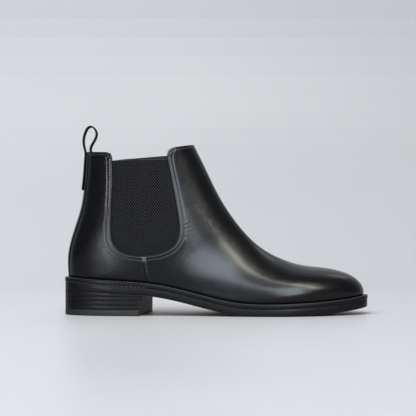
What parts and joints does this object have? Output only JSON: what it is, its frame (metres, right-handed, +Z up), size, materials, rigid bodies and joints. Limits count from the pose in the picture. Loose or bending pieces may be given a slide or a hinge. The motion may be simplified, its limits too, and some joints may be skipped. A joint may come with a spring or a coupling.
{
  "type": "chelsea boot",
  "caption": "Black leather chelsea boot for the right foot, with elastic side gores, a heel pull tab, a welted leather sole and a stacked block heel.",
  "frame": {"origin": "on the ground under the middle of the boot's length and width", "axes": "+X points to the toe, +Y to the inner side of the foot, +Z up"},
  "size_m": [0.3048, 0.1, 0.1891],
  "materials": {
    "black_calf": "smooth box calf, satin",
    "elastic": "ribbed elastic webbing",
    "webbing": "woven cotton tape",
    "lining": "vegetable-tanned lining, matt",
    "stiffener": "board leather, matt",
    "cork": "granulated cork",
    "shank_steel": "cold-rolled strip",
    "sole_edge": "stained and waxed edge",
    "outsole": "tan sole leather with a black edge",
    "heel_rubber": "matt",
    "nail_brass": "bright"
  },
  "bodies": {
    "boot": {"vamp": "black_calf", "quarter_outer": "black_calf", "quarter_inner": "black_calf", "back_strip": "black_calf", "gore_outer": "elastic", "gore_inner": "elastic", "pull_tab_anchor": "webbing", "vamp_lining": "lining", "heel_lining": "lining", "sock_liner": "lining", "heel_counter": "stiffener", "toe_puff": "stiffener", "insole": "stiffener", "cork_filler": "cork", "shank": "shank_steel", "welt": "sole_edge", "heel_lift_1": "sole_edge", "heel_lift_2": "sole_edge", "heel_lift_3": "sole_edge", "heel_wedge": "sole_edge", "outsole": "outsole", "heel_top_piece": "heel_rubber", "heel_nail_1": "nail_brass", "heel_nail_2": "nail_brass", "heel_nail_3": "nail_brass", "heel_nail_4": "nail_brass", "heel_nail_5": "nail_brass", "heel_nail_6": "nail_brass"},
    "pull_loop": {"pull_tab_loop": "webbing"}
  },
  "joints": [
    {"name": "pull_loop_bend", "type": "hinge", "parent": "boot", "child": "pull_loop", "pos_m": [-0.13, -0.0018, 0.168], "axis": [0, 1, 0], "range_deg": [-60, 50], "stiffness_Nm_per_rad": 0.005}
  ]
}
